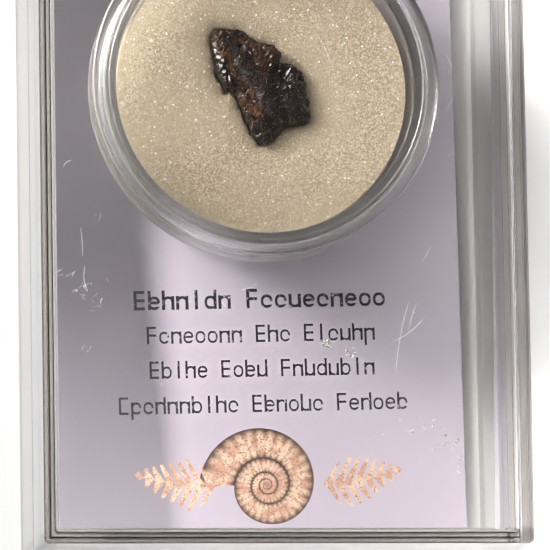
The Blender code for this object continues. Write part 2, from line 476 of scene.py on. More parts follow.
# %% Sizes of the case, read from the frame
base_low, base_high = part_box("case_base")
lid_low, lid_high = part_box("case_lid")
CASE_HALF = Vector((base_high.x, base_high.y))
SHOULDER = lid_low.z - 0.3 * MM
WALL = 2.05 * MM
UPSTAND_WALL = 0.9 * MM
LID_WALL = 1.4 * MM
LAP_WALL = 0.85 * MM
FLOOR = 1.5 * MM
CEILING = lid_high.z - 1.5 * MM
LAP_TOP = base_high.z + 0.3 * MM
LID_TOP = lid_high.z - 0.02 * MM
print("upstand from", round(SHOULDER * 1000, 2), "to", round(base_high.z * 1000, 2), "mm")


def corner_post(insets):
    """A test for upright edges at the corners of the outline, moved in by one of some insets."""
    def test(corners):
        a, b = corners
        upright = (a - b).xy.length < TOUCH
        return upright and any(abs(abs(a.x) - CASE_HALF.x + inset) < TOUCH for inset in insets)
    return test


def block(name, low, high):
    """A cube of the case's outline between two heights."""
    size = (2 * CASE_HALF.x, 2 * CASE_HALF.y, high - low)
    bpy.ops.mesh.primitive_cube_add(size=1.0, location=(0.0, 0.0, (low + high) / 2))
    bpy.context.object.scale = size
    return settle(name)


# %% [markdown]
# ## The case's tray
#
# Above a shoulder half way up its height the tray goes on as a thin upstand that the lid slips
# over. By hand this is a cube whose top is inset and pulled up for the upstand, then inset again
# and pushed down for the inside. The moulding's small radii are bevels, and they matter more than
# anything else here: on clear plastic the edges are all you see.

# %% Model the tray
def make_tray():
    """Cube, upstand, inside, then the moulded radii."""
    tray = block("display_case_tray", base_low.z, SHOULDER)
    bpy.ops.object.mode_set(mode="EDIT")
    pick("FACE", level_with(SHOULDER))
    bpy.ops.mesh.inset(thickness=WALL - UPSTAND_WALL)
    push(base_high.z - SHOULDER)
    bpy.ops.mesh.inset(thickness=UPSTAND_WALL)
    push(FLOOR - base_high.z)
    round_edges(corner_post([0.0]), 0.6 * MM, 5)
    round_edges(corner_post([WALL - UPSTAND_WALL, WALL]), 0.5 * MM, 4)
    round_edges(level_with(FLOOR), 0.5 * MM, 5)
    round_edges(level_with(base_low.z), 0.25 * MM, 3)
    round_edges(level_with(base_high.z), 0.12 * MM, 2)
    round_edges(level_with(SHOULDER), 0.1 * MM, 2)
    bpy.ops.object.mode_set(mode="OBJECT")
    shade(tray)
    return tray


tray = make_tray()
wear(tray, case_plastic)
hand_over(tray, "case_base")

# %% [markdown]
# ## The case's lid
#
# The lid is the same box upside down, with a skirt that gets thinner where it laps the tray. It
# starts as a cube whose underside is inset and pushed up twice, once for the lap and once for the
# ceiling. A rounder fillet runs round the ceiling: it draws the bright line inside the rim.

# %% Model the lid
def make_lid():
    """Cube, lap, inside, then the moulded radii."""
    lid = block("display_case_lid", lid_low.z, LID_TOP)
    bpy.ops.object.mode_set(mode="EDIT")
    pick("FACE", level_with(lid_low.z))
    bpy.ops.mesh.inset(thickness=LAP_WALL)
    push(LAP_TOP - lid_low.z)
    bpy.ops.mesh.inset(thickness=LID_WALL - LAP_WALL)
    push(CEILING - LAP_TOP)
    round_edges(corner_post([0.0]), 0.6 * MM, 5)
    round_edges(corner_post([LAP_WALL, LID_WALL]), 0.5 * MM, 4)
    round_edges(level_with(CEILING), 0.5 * MM, 5)
    round_edges(level_with(LID_TOP), 0.22 * MM, 3)
    round_edges(level_with(lid_low.z), 0.1 * MM, 2)
    bpy.ops.object.mode_set(mode="OBJECT")
    shade(lid)
    return lid


lid = make_lid()
wear(lid, lid_plastic)
hand_over(lid, "case_lid")

# %% [markdown]
# ## The jar
#
# The jar's cup and lid are turned shapes. Each is a cylinder with one end inset and pushed through
# for the inside, and every rim is bevelled. The walls get many sides, because a clear ring shows
# its corners as stripes when it has few.

# %% Sizes of the jar
cup_low, cup_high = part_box("jar_base")
cap_low, cap_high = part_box("jar_lid")
JAR_CENTRE = Vector(((cup_low.x + cup_high.x) / 2, (cup_low.y + cup_high.y) / 2))
CUP_RADIUS = (cup_high.x - cup_low.x) / 2
CAP_RADIUS = (cap_high.x - cap_low.x) / 2
CUP_WALL = 1.4 * MM
CUP_FLOOR = 1.2 * MM
CAP_PLATE = 1.2 * MM
CAP_INNER = CUP_RADIUS + 0.3 * MM
PLATE_RADIUS = 18.7 * MM
PLATE_RECESS = 0.25 * MM
JAR_SIDES = 192


def drum(name, radius, low, high):
    """A closed cylinder on the jar's axis."""
    bpy.ops.mesh.primitive_cylinder_add(
        vertices=JAR_SIDES, radius=radius, depth=high - low, location=(*JAR_CENTRE, (low + high) / 2))
    return settle(name)


print("jar radius", round(CAP_RADIUS / MM, 2), "mm")

# %% [markdown]
# The cup is open at the top: its upper face is inset by the wall and pushed down to the floor.

# %% Model the cup
def make_cup():
    """The cup, open at the top."""
    cup = drum("gem_jar_cup", CUP_RADIUS, cup_low.z, cup_high.z)
    bpy.ops.object.mode_set(mode="EDIT")
    pick("FACE", level_with(cup_high.z))
    bpy.ops.mesh.inset(thickness=CUP_WALL)
    push(CUP_FLOOR - (cup_high.z - cup_low.z))
    round_edges(level_with(cup_low.z + CUP_FLOOR), 0.4 * MM, 4)
    round_edges(level_with(cup_high.z), 0.25 * MM, 4)
    round_edges(level_with(cup_low.z), 0.45 * MM, 4)
    bpy.ops.object.mode_set(mode="OBJECT")
    shade(cup)
    return cup


cup = make_cup()
wear(cup, jar_plastic)
hand_over(cup, "jar_base")

# %% [markdown]
# The jar's lid is open at the bottom. Its plate is set down a little inside the rounded rim, which
# draws the fine bright circle just outside the foam.

# %% Model the jar's lid
def make_cap():
    """The jar's lid, open at the bottom."""
    cap = drum("gem_jar_lid", CAP_RADIUS, cap_low.z, cap_high.z)
    bpy.ops.object.mode_set(mode="EDIT")
    pick("FACE", level_with(cap_low.z))
    bpy.ops.mesh.inset(thickness=CAP_RADIUS - CAP_INNER)
    push(cap_high.z - CAP_PLATE - cap_low.z)
    pick("FACE", level_with(cap_high.z))
    bpy.ops.mesh.inset(thickness=CAP_RADIUS - PLATE_RADIUS)
    push(-PLATE_RECESS)
    round_edges(level_with(cap_high.z - CAP_PLATE), 0.35 * MM, 4)
    round_edges(level_with(cap_high.z), 0.42 * MM, 6)
    round_edges(level_with(cap_high.z - PLATE_RECESS), 0.1 * MM, 2)
    round_edges(level_with(cap_low.z), 0.2 * MM, 3)
    bpy.ops.object.mode_set(mode="OBJECT")
    shade(cap)
    return cap


cap = make_cap()
wear(cap, jar_plastic)
hand_over(cap, "jar_lid")

# %% [markdown]
# ## The tooth's surface
#
# The tooth is worn enamel over dark dentine, broken away on one side. Its swellings and hollows, the
# parts that are rusty or rough, and the blue-grey patches where a sheen is painted into the colour
# are short lists of slanted oval spots. Shape and colour read the same lists, so they agree.

# %% Places on the tooth, in millimetres from the tooth's middle
tooth_low, tooth_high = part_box("tooth")
TOOTH_CENTRE = ((tooth_low + tooth_high) / 2).xy - Vector((0.1, 0.0)) * MM
VOXEL = 0.075 * MM

# x, y, reach along, reach across, slant in degrees, amount
RUST_SPOTS = (
    (-4.7, 4.3, 2.5, 0.85, -68.0, 0.55),
    (0.3, 4.2, 2.3, 1.3, -25.0, 0.45),
    (-1.5, -2.1, 2.7, 1.15, -62.0, 0.65),
    (-2.6, 0.5, 1.2, 0.7, -50.0, 0.35),
    (-4.7, 4.5, 1.9, 0.50, -68.0, 1.0),
    (-3.8, 2.3, 1.2, 0.35, -62.0, 0.8),
    (-3.9, 6.3, 1.3, 0.7, -10.0, 0.35),
    (-1.2, 5.2, 1.4, 0.9, -20.0, 0.6),
    (0.6, 4.3, 1.7, 1.0, -12.0, 0.8),
    (-0.3, 2.9, 1.2, 0.9, -40.0, 0.5),
    (-1.4, -1.5, 1.3, 0.8, -60.0, 0.7),
    (-0.7, -3.2, 1.2, 0.8, -60.0, 0.55),
)
# Sheen spots: where a blue-grey sheen is painted into the colour.
SHEEN_SPOTS = (
    (-3.2, 4.5, 1.2, 0.6, -55.0, 0.35),
    (-1.6, 1.2, 1.0, 0.55, -15.0, 0.9),
    (-0.3, -1.4, 1.3, 0.25, -78.0, 0.8),
    (0.9, -3.2, 1.2, 0.3, -62.0, 0.5),
    (4.3, -2.3, 1.6, 1.1, -80.0, 0.15),
)
ROUGH_SPOTS = (
    (0.9, 4.4, 1.9, 1.2, -14.0, 1.0),
    (-1.0, 4.9, 1.4, 0.9, -35.0, 0.8),
    (-4.9, 2.6, 2.5, 0.6, -72.0, 0.8),
    (-4.2, -0.5, 0.9, 0.5, -30.0, 1.0),
    (-5.2, 6.4, 0.9, 0.7, 0.0, 0.6),
    (4.6, -4.4, 1.6, 0.5, 15.0, 0.9),
    (0.3, -6.6, 1.2, 0.7, 0.0, 0.7),
)
SWELLINGS = (
    (-4.2, 1.6, 1.3, 0.35, -72.0, 0.10),
    (-3.3, 3.2, 2.0, 0.35, -66.0, -0.20),
    (-2.6, 4.4, 1.2, 0.8, -55.0, -0.20),
    (-1.5, 1.5, 1.2, 0.45, -35.0, 0.22),
    (0.1, 0.2, 1.8, 0.35, -75.0, 0.22),
    (0.9, -2.6, 2.0, 0.35, -66.0, 0.20),
    (1.9, -1.0, 2.6, 0.5, -80.0, -0.26),
    (2.7, 0.9, 0.6, 0.5, 0.0, -0.2),
    (-1.8, -0.4, 1.2, 0.4, -65.0, -0.20),
    (-0.9, 3.3, 1.0, 0.5, -40.0, -0.22),
    (3.6, -1.5, 1.2, 1.0, -80.0, 0.12),
)
print("tooth middle in mm:", [round(value / MM, 2) for value in TOOTH_CENTRE])

# %% [markdown]
# Varnish has run over the tooth's left edge and its ridges, and it shines there in a chain of small
# white glints. A glint is a mirror: it needs a facet whose slope faces half-way between the lamp
# and the eye. The facets are listed here and cut into the surface later.

# %% Places of the glints
# x, y, reach along, reach across, slant in degrees
GLINTS = (
    (-5.55, 5.05, 0.24, 0.17, -70.0),
    (-5.34, 4.28, 0.30, 0.19, -70.0),
    (-5.02, 3.45, 0.30, 0.26, -60.0),
    (-4.62, 3.02, 0.20, 0.22, -30.0),
    (-4.78, 2.42, 0.20, 0.25, 20.0),
    (-4.44, 1.66, 0.22, 0.22, 20.0),
    (-4.10, 2.15, 0.24, 0.17, -60.0),
    (-3.86, 1.05, 0.72, 0.16, -78.0),
    (2.10, 2.00, 0.42, 0.14, -48.0),
    (2.66, 1.30, 0.30, 0.13, -40.0),
    (3.20, 1.55, 0.75, 0.15, 57.0),
    (1.20, 3.60, 0.32, 0.19, 82.0),
    (1.12, 2.50, 0.19, 0.19, 0.0),
    (2.30, 2.36, 0.20, 0.18, 0.0),
    (-2.60, 3.45, 0.22, 0.14, -60.0),
    (-0.95, -1.90, 0.14, 0.14, 0.0),
    (-1.60, -3.10, 0.12, 0.12, 0.0),
    (0.35, 4.60, 0.15, 0.15, 0.0),
    (-0.60, 4.95, 0.13, 0.13, 0.0),
    (-0.35, -5.95, 0.34, 0.11, 30.0),
)
GLINT_SLOPE = (0.698, -0.242)
print(len(GLINTS), "glints, sloping", GLINT_SLOPE)

# %% [markdown]
# Two small tools turn those lists and some noise into numbers for every point of a mesh at once.

# %% Spots and noise
def spots_at(x, y, spots):
    """Sum of soft slanted spots at one or many places."""
    total = 0.0
    for centre_x, centre_y, along, across, slant, amount in spots:
        turn = math.radians(slant)
        dx, dy = x - centre_x, y - centre_y
        u = (dx * math.cos(turn) + dy * math.sin(turn)) / along
        v = (dy * math.cos(turn) - dx * math.sin(turn)) / across
        total = total + amount * np.exp(-(u * u + v * v))
    return total


def fractal(points, scale_mm, octaves, seed):
    """Fractal noise in about -1 to 1 at many points."""
    shift = Vector((seed * 17.3, seed * 5.1, seed * 9.7))
    return np.array([noise.fractal(Vector(p) / (scale_mm * MM) + shift, 1.0, 2.0, octaves) for p in points])


print("a spot at its own middle gives", round(float(spots_at(0.0, 0.0, [(0, 0, 1, 1, 0, 1.0)])), 2))

# %% [markdown]
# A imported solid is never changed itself. A copy of it is welded into one closed skin, and its
# points and normals are lifted out as arrays, moved, and put back. Numbers that the material needs
# are stored on the points as attributes.

# %% Copies and points
def copy_of(node_name, name):
    """A welded copy of a solid, free to be shaped."""
    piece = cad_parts[node_name].copy()
    piece.data = piece.data.copy()
    for key in list(piece.keys()):
        del piece[key]
    piece.parent = None
    bpy.context.scene.collection.objects.link(piece)
    piece.name = name
    piece.data.name = name
    only(piece)
    bpy.ops.object.mode_set(mode="EDIT")
    bpy.ops.mesh.select_all(action="SELECT")
    bpy.ops.mesh.remove_doubles(threshold=0.001 * MM)
    bpy.ops.object.mode_set(mode="OBJECT")
    return piece


def points_and_normals(piece):
    """All vertex places and normals as two arrays."""
    count = len(piece.data.vertices)
    points = np.empty(count * 3, np.float32)
    normals = np.empty(count * 3, np.float32)
    piece.data.vertices.foreach_get("co", points)
    piece.data.vertices.foreach_get("normal", normals)
    return points.reshape(-1, 3).astype(float), normals.reshape(-1, 3).astype(float)


def move_points(piece, points):
    """Put the vertices at new places."""
    piece.data.vertices.foreach_set("co", points.astype(np.float32).ravel())
    piece.data.update()


def store(piece, name, values):
    """Keep one number per vertex, for the material to read."""
    layer = piece.data.attributes.new(name, "FLOAT", "POINT")
    layer.data.foreach_set("value", np.clip(values, 0.0, 1.0).astype(np.float32))


print("the tooth's solid has", len(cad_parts["tooth"].data.polygons), "faces to start from")

# %% [markdown]
# Inside a glint's oval the surface is laid on one tilted plane, and at the oval's edge it eases
# back to the old surface.

# %% Cut the glints
def cut_glints(points, x, y, up):
    """Flatten small patches of the top to the tilt that mirrors the lamp."""
    height = points[:, 2] / MM
    for centre_x, centre_y, along, across, slant in GLINTS:
        turn = math.radians(slant)
        dx, dy = x - centre_x, y - centre_y
        u = (dx * math.cos(turn) + dy * math.sin(turn)) / along
        v = (dy * math.cos(turn) - dx * math.sin(turn)) / across
        share = np.clip(2.6 - 1.6 * np.sqrt(u * u + v * v), 0.0, 1.0) * (up > 0.1)
        middle = np.average(height, weights=share + 1e-12)
        height = height + share * (middle + GLINT_SLOPE[0] * dx + GLINT_SLOPE[1] * dy - height)
    points[:, 2] = height * MM


print("largest glint reaches", max(glint[2] for glint in GLINTS), "mm")

# %% [markdown]
# ## The tooth
#
# The copy is cut into fine even faces by a voxel remesh and smoothed, and then each point moves
# along its normal. Low noise makes the lumps, sharper noise makes pits where the enamel is gone,
# and thin valleys of a third noise are its cracks. The sides are drawn in a little first, because
# the roughness widens them again.

# %% Model the tooth
SIDE_PULL = 0.16


def make_tooth():
    """Weld, remesh, smooth and shape the tooth."""
    tooth = copy_of("tooth", "fossil_tooth")
    use(tooth, "REMESH", mode="VOXEL", voxel_size=VOXEL, adaptivity=0.0)
    use(tooth, "SMOOTH", factor=0.5, iterations=3)
    points, normals = points_and_normals(tooth)
    x, y = ((points[:, :2] - np.array(TOOTH_CENTRE)) / MM).T
    rough = np.clip(spots_at(x, y, ROUGH_SPOTS), 0.0, 1.0)
    lumps = fractal(points, 1.1, 4, 1)
    pits = fractal(points, 0.42, 4, 2)
    creases = np.abs(fractal(points, 1.9, 3, 5))
    grit = fractal(points, 0.22, 2, 6)
    up = np.clip(normals[:, 2] * 2.0, 0.0, 1.0)
    beside = 1.0 - np.clip(np.abs(normals[:, 2]) * 1.6, 0.0, 1.0)
    rise = spots_at(x, y, SWELLINGS) * up - 1.1 * np.clip(0.16 - creases, 0.0, 1.0) * up
    rise = rise + (0.14 * lumps + 0.03 * grit) * up + rough * up * (0.30 * pits + 0.16 * lumps)
    rise = rise - 0.5 * np.clip(pits - 0.2, 0.0, 1.0) * rough * up
    rise = rise + beside * (0.24 * pits + 0.22 * lumps + 0.12 * grit - SIDE_PULL)
    points = points + normals * (rise * MM)[:, None]
    x, y = ((points[:, :2] - np.array(TOOTH_CENTRE)) / MM).T
    cut_glints(points, x, y, up)
    move_points(tooth, points)
    rust_noise = fractal(points, 0.9, 5, 3)
    store(tooth, "rust", spots_at(x, y, RUST_SPOTS) * (1.0 + 0.9 * rust_noise) + 0.25 * rust_noise * rough)
    store(tooth, "sheen", spots_at(x, y, SHEEN_SPOTS) * (1.0 + 0.8 * lumps))
    store(tooth, "rough", rough)
    shade(tooth, 80.0)
    top = max(corner.co.z for corner in tooth.data.vertices)
    print("tooth top at", round(top / MM, 2), "mm, jar's lid at", round((cap_high.z - CAP_PLATE) / MM, 2))
    return tooth


tooth = make_tooth()
hand_over(tooth, "tooth")

# %% [markdown]
# The tooth's material is near black with a brown cast, and rust red and orange where the surface
# is porous. All of it is under a glassy varnish, which is the shader's coat: a second, sharper
# reflection over a duller base.

# %% Material of the tooth
def fossil_material():
    """Dark varnished fossil enamel with rusty patches and a blue-grey sheen painted on others."""
    material, tree, output, place = new_material("varnished_fossil")
    rust = node(tree, "Attribute", {"attribute_name": "rust"}).outputs["Fac"]
    sheen = node(tree, "Attribute", {"attribute_name": "sheen"}).outputs["Fac"]
    rough = node(tree, "Attribute", {"attribute_name": "rough"}).outputs["Fac"]
    broad = texture(tree, "TexNoise", place, 700.0, "Fac", Detail=6.0, Roughness=0.65)
    fine = texture(tree, "TexNoise", place, 3500.0, "Fac", Detail=4.0, Roughness=0.6)
    dark = blend(tree, broad, (0.0042, 0.0026, 0.0018, 1.0), (0.0175, 0.0078, 0.0042, 1.0))
    red = blend(tree, step(tree, fine, 0.35, 0.7), (0.031, 0.013, 0.0058, 1.0), (0.078, 0.032, 0.0105, 1.0))
    rust_share = calc(tree, "MULTIPLY", rust, step(tree, broad, 0.2, 0.6))
    body = blend(tree, rust_share, dark, red)
    # Painted sheen: a blue-grey sheen painted into the base colour.
    painted_sheen_share = calc(tree, "MULTIPLY", sheen, step(tree, fine, 0.35, 0.65))
    body = blend(tree, painted_sheen_share, body, (0.062, 0.066, 0.074, 1.0))
    ember = both(tree, calc(tree, "GREATER_THAN", fine, 0.62), calc(tree, "GREATER_THAN", rust, 0.5))
    body = blend(tree, calc(tree, "MULTIPLY", ember, 0.35), body, (0.21, 0.095, 0.028, 1.0))
    chips = texture(tree, "TexVoronoi", place, 3000.0, "Distance", {"feature": "F1"})
    chip_mask = both(tree, calc(tree, "LESS_THAN", chips, 0.16), calc(tree, "GREATER_THAN", fine, 0.57))
    body = blend(tree, chip_mask, body, (0.30, 0.24, 0.19, 1.0))
    cracks = texture(tree, "TexVoronoi", place, 620.0, "Distance", {"feature": "DISTANCE_TO_EDGE"})
    hair = both(tree, calc(tree, "LESS_THAN", cracks, 0.018), step(tree, broad, 0.5, 0.6))
    body = blend(tree, calc(tree, "MULTIPLY", hair, 0.5), body, (0.20, 0.19, 0.18, 1.0))
    height = calc(tree, "MULTIPLY", fine, calc(tree, "ADD", rough, 0.2))
    bump = node(tree, "Bump", Height=height, Strength=0.8, Distance=0.06 * MM)
    shader = node(tree, "BsdfPrincipled", Base_Color=body, Coat_Weight=1.0, Coat_Roughness=0.15,
                  Specular_IOR_Level=0.08)
    shader.inputs["Coat IOR"].default_value = 1.52
    feed(tree, shader.inputs["Roughness"], calc(tree, "MULTIPLY_ADD", rough, 0.2, 0.25))
    feed(tree, shader.inputs["Normal"], bump.outputs["Normal"])
    feed(tree, output.inputs["Surface"], shader.outputs[0])
    return material


wear(tooth, fossil_material())

# %% [markdown]
# ## The foam pad
#
# The pad is a disc of open-cell foam. A grid is laid flat and its square is eased into a circle,
# so the faces stay even right up to the edge. Its rim is pulled down for the side and closed
# below. Two displacement modifiers raise the cell walls, and the faces under the tooth are pressed
# down by how near they are to it, because foam gives way softly round anything pushed into it.

# %% Sizes of the pad and its pocket
foam_low, foam_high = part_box("foam_pad")
FOAM_RADIUS = (foam_high.x - foam_low.x) / 2
FOAM_GRID = 288
POCKET_DEPTH = 2.2 * MM
FOAM_SKIN = 0.12 * MM


def ease_to_disc(piece, radius):
    """Turn a flat square from -1 to 1 into a disc with even faces."""
    points, _ = points_and_normals(piece)
    x, y = points[:, 0].copy(), points[:, 1].copy()
    points[:, 0] = radius * x * np.sqrt(1.0 - y * y / 2.0) + JAR_CENTRE.x
    points[:, 1] = radius * y * np.sqrt(1.0 - x * x / 2.0) + JAR_CENTRE.y
    points[:, 2] = foam_high.z - FOAM_SKIN
    move_points(piece, points)


def press_pocket(piece, tooth):
    """Push the foam down under the tooth, let it sag a little round it, and store a painted shade near it."""
    body = bmesh.new()
    body.from_mesh(tooth.data)
    tree = BVHTree.FromBMesh(body)
    body.free()
    points, _ = points_and_normals(piece)
    shade_of = np.zeros(len(points))
    reach = 3.0 * MM
    middle = Vector((*TOOTH_CENTRE, foam_high.z))
    for index, point in enumerate(points):
        if point[2] < foam_high.z - 1.0 * MM or (Vector(point) - middle).length > 12.0 * MM:
            continue
        place = Vector((point[0], point[1], foam_high.z + 0.1 * MM))
        nearest = tree.find_nearest(place, reach)
        if nearest[0] is None:
            continue
        covered = tree.ray_cast(place + Vector((0, 0, 9.0 * MM)), Vector((0, 0, -1)))[0]
        gap = 0.0 if covered else (nearest[0] - place).xy.length
        # Painted shade: the foam is darkened the nearer it is to the tooth.
        shade_of[index] = 0.5 * math.exp(-gap / (0.6 * MM)) + 0.5 * math.exp(-gap / (2.4 * MM))
        sag = 0.42 * MM * math.exp(-gap / (0.55 * MM)) + 0.18 * MM * math.exp(-gap / (1.6 * MM))
        if covered:
            sag = POCKET_DEPTH
        points[index, 2] -= sag
    move_points(piece, points)
    store(piece, "painted_shade_near_tooth", shade_of)


print("foam radius", round(FOAM_RADIUS / MM, 2), "mm, top at", round(foam_high.z / MM, 2), "mm")

# %% [markdown]
# The disc's rim is extruded down in a few drops, so the side has rows of faces, and closed below.
# Two cloud-like textures raise the surface by a few hundredths of a millimetre. More would make a
# sponge of it: the pad in the photograph looks almost like felt.

# %% Model the foam pad
def make_foam():
    """Grid to disc, sides, cells and the pocket."""
    bpy.ops.mesh.primitive_grid_add(x_subdivisions=FOAM_GRID, y_subdivisions=FOAM_GRID, size=2.0)
    foam = settle("foam_disc")
    ease_to_disc(foam, FOAM_RADIUS - FOAM_SKIN)
    bpy.ops.object.mode_set(mode="EDIT")
    bpy.ops.mesh.select_all(action="SELECT")
    bpy.ops.mesh.region_to_loop()
    for drop in (0.25, 0.9, 2.0, 2.6, 1.6):
        bpy.ops.mesh.extrude_edges_move(TRANSFORM_OT_translate={"value": (0.0, 0.0, -drop * MM)})
    bpy.ops.mesh.edge_face_add()
    bpy.ops.mesh.select_all(action="SELECT")
    bpy.ops.mesh.normals_make_consistent(inside=False)
    bpy.ops.object.mode_set(mode="OBJECT")
    cells = bpy.data.textures.new("foam_cells", "VORONOI")
    cells.noise_scale = 0.26 * MM
    cells.distance_metric = "DISTANCE"
    fuzz = bpy.data.textures.new("foam_fuzz", "CLOUDS")
    fuzz.noise_scale = 0.8 * MM
    fuzz.noise_depth = 3
    use(foam, "DISPLACE", texture=cells, texture_coords="LOCAL", strength=0.05 * MM, mid_level=0.6)
    use(foam, "DISPLACE", texture=fuzz, texture_coords="LOCAL", strength=0.10 * MM, mid_level=0.5)
    press_pocket(foam, tooth)
    shade(foam, 80.0)
    return foam


foam = make_foam()
hand_over(foam, "foam_pad")

# %% [markdown]
# Foam of this kind is a mesh of thin cream fibres. Two fine noises give light and dark cells, and the
# pores in the cells are darkened as a painted shade. The edges of the cell walls are painted paler as
# painted light, and a few cells in a thousand are painted near white and made smoother, as painted
# glints. The foam is darkened round the tooth and towards its front edge, also as a painted shade.

# %% Material of the foam
def foam_material():
    """Cream open-cell foam with painted glints and painted light on its cell walls."""
    material, tree, output, place = new_material("cream_foam")
    painted_shade_near_tooth = node(tree, "Attribute", {"attribute_name": "painted_shade_near_tooth"}).outputs["Fac"]
    cells = texture(tree, "TexVoronoi", place, 5200.0, "Distance", {"feature": "F1"})
    tint = texture(tree, "TexNoise", place, 5200.0, "Fac", Detail=3.0, Roughness=0.7)
    slow = texture(tree, "TexNoise", place, 110.0, "Fac", Detail=3.0)
    tone = blend(tree, step(tree, tint, 0.35, 0.65), (0.27, 0.213, 0.138, 1.0), (0.62, 0.515, 0.375, 1.0))
    tone = blend(tree, step(tree, slow, 0.3, 0.7), tone, (0.47, 0.385, 0.275, 1.0))
    # Painted shade: the pores of the cells are darkened.
    shaded_pore = step(tree, cells, 0.6, 0.3)
    tone = blend(tree, calc(tree, "MULTIPLY", shaded_pore, 0.2), tone, (0.18, 0.14, 0.09, 1.0))
    # Painted glints: a few cells are painted near white and made smoother.
    spark = texture(tree, "TexVoronoi", place, 1500.0, "Distance", {"feature": "F1"})
    rare = texture(tree, "TexNoise", place, 1300.0, "Fac", Detail=1.0)
    glint = calc(tree, "MULTIPLY", calc(tree, "LESS_THAN", spark, 0.17), step(tree, rare, 0.50, 0.56))
    tone = blend(tree, glint, tone, (0.95, 0.93, 0.88, 1.0))
    wall = texture(tree, "TexVoronoi", place, 3300.0, "Distance", {"feature": "DISTANCE_TO_EDGE"})
    lit_wall = both(tree, calc(tree, "LESS_THAN", wall, 0.07), step(tree, tint, 0.5, 0.6))
    tone = blend(tree, calc(tree, "MULTIPLY", lit_wall, 0.55), tone, (0.90, 0.83, 0.70, 1.0))
    # Painted shade: darker round the tooth.
    tone = blend(tree, calc(tree, "MULTIPLY", painted_shade_near_tooth, 0.40), tone, (0.14, 0.105, 0.05, 1.0))
    # Painted shade: the foam is darker towards its front edge.
    front = node(tree, "SeparateXYZ", Vector=place).outputs["Y"]
    painted_shade_front = step(tree, front, JAR_CENTRE.y - 6.0 * MM, JAR_CENTRE.y - 16.5 * MM)
    tone = blend(tree, calc(tree, "MULTIPLY", painted_shade_front, 0.4), tone, (0.30, 0.235, 0.16, 1.0))
    bump = node(tree, "Bump", Height=cells, Strength=0.6, Distance=0.07 * MM)
    shader = node(tree, "BsdfPrincipled", Base_Color=tone)
    feed(tree, shader.inputs["Roughness"], calc(tree, "MULTIPLY_ADD", glint, -0.6, 0.92))
    feed(tree, shader.inputs["Normal"], bump.outputs["Normal"])
    feed(tree, output.inputs["Surface"], shader.outputs[0])
    return material


wear(foam, foam_material())

# %% [markdown]
# ## The card
#
# The card is a stiff silvery sheet with a pearly coating, cut a little out of square. Its solid is
# right as it is but has knife-sharp edges, so a welded copy of it gets a fine bevel round its top,
# as wide as the crushed rim that a guillotine leaves.

# %% Model the card
card_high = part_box("label_card")[1]


def top_edge(corners):
    """A test for the card's four upper edges, and not for the diagonal between its triangles."""
    span = corners[0] - corners[1]
    diagonal = abs(span.x) > 5 * MM and abs(span.y) > 5 * MM
    return level_with(card_high.z)(corners) and span.length > 30 * MM and not diagonal


def make_card():
    """Soften the cut edges of a copy of the card."""
    card = copy_of("label_card", "printed_card")
    bpy.ops.object.mode_set(mode="EDIT")
    round_edges(top_edge, 0.06 * MM, 2)
    bpy.ops.object.mode_set(mode="OBJECT")
    shade(card)
    return card


card = make_card()
hand_over(card, "label_card")

# %% [markdown]
# ## The print
#
# The print is worked out in the shader from the place on the card in millimetres. Four centred rows
# of made-up letters stand where a label would have its lines. The row is cut into cells, each cell
# draws three random numbers, and they choose a ring, part of a ring, a stem or a bar.

# %% Rows of made-up letters
PRINT_TURN = math.radians(1.3)


def any_of(tree, value, wanted):
    """True where a whole number is one of a few."""
    return either(tree, *[near(tree, value, float(one), 0.4) for one in wanted])


def round_part(tree, u, v, cut, half_x, height, stroke):
    """The bowl of a letter: a ring, open at a side, below or above, or crossed by a bar."""
    half_y, slim = (height - stroke) / 2, stroke / 2
    wide = calc(tree, "POWER", calc(tree, "ABSOLUTE", calc(tree, "DIVIDE", u, half_x)), 2.3)
    tall = calc(tree, "POWER", calc(tree, "ABSOLUTE", calc(tree, "DIVIDE", v, half_y)), 2.3)
    ring = near(tree, calc(tree, "SQRT", calc(tree, "ADD", wide, tall)), 1.0, stroke / (half_x + half_y))
    opened = either(tree,
                    both(tree, calc(tree, "LESS_THAN", cut, 0.35), calc(tree, "GREATER_THAN", u, 0.0),
                         near(tree, v, -0.12 * height, 0.13 * height)),
                    both(tree, between(tree, cut, 0.35, 0.6), calc(tree, "LESS_THAN", v, -0.2 * height)),
                    both(tree, between(tree, cut, 0.6, 0.72), calc(tree, "GREATER_THAN", v, 0.2 * height)))
    ring = both(tree, ring, calc(tree, "SUBTRACT", 1.0, opened))
    bar = both(tree, calc(tree, "LESS_THAN", cut, 0.2), near(tree, v, 0.05, slim), near(tree, u, 0.0, half_x))
    return either(tree, ring, bar)


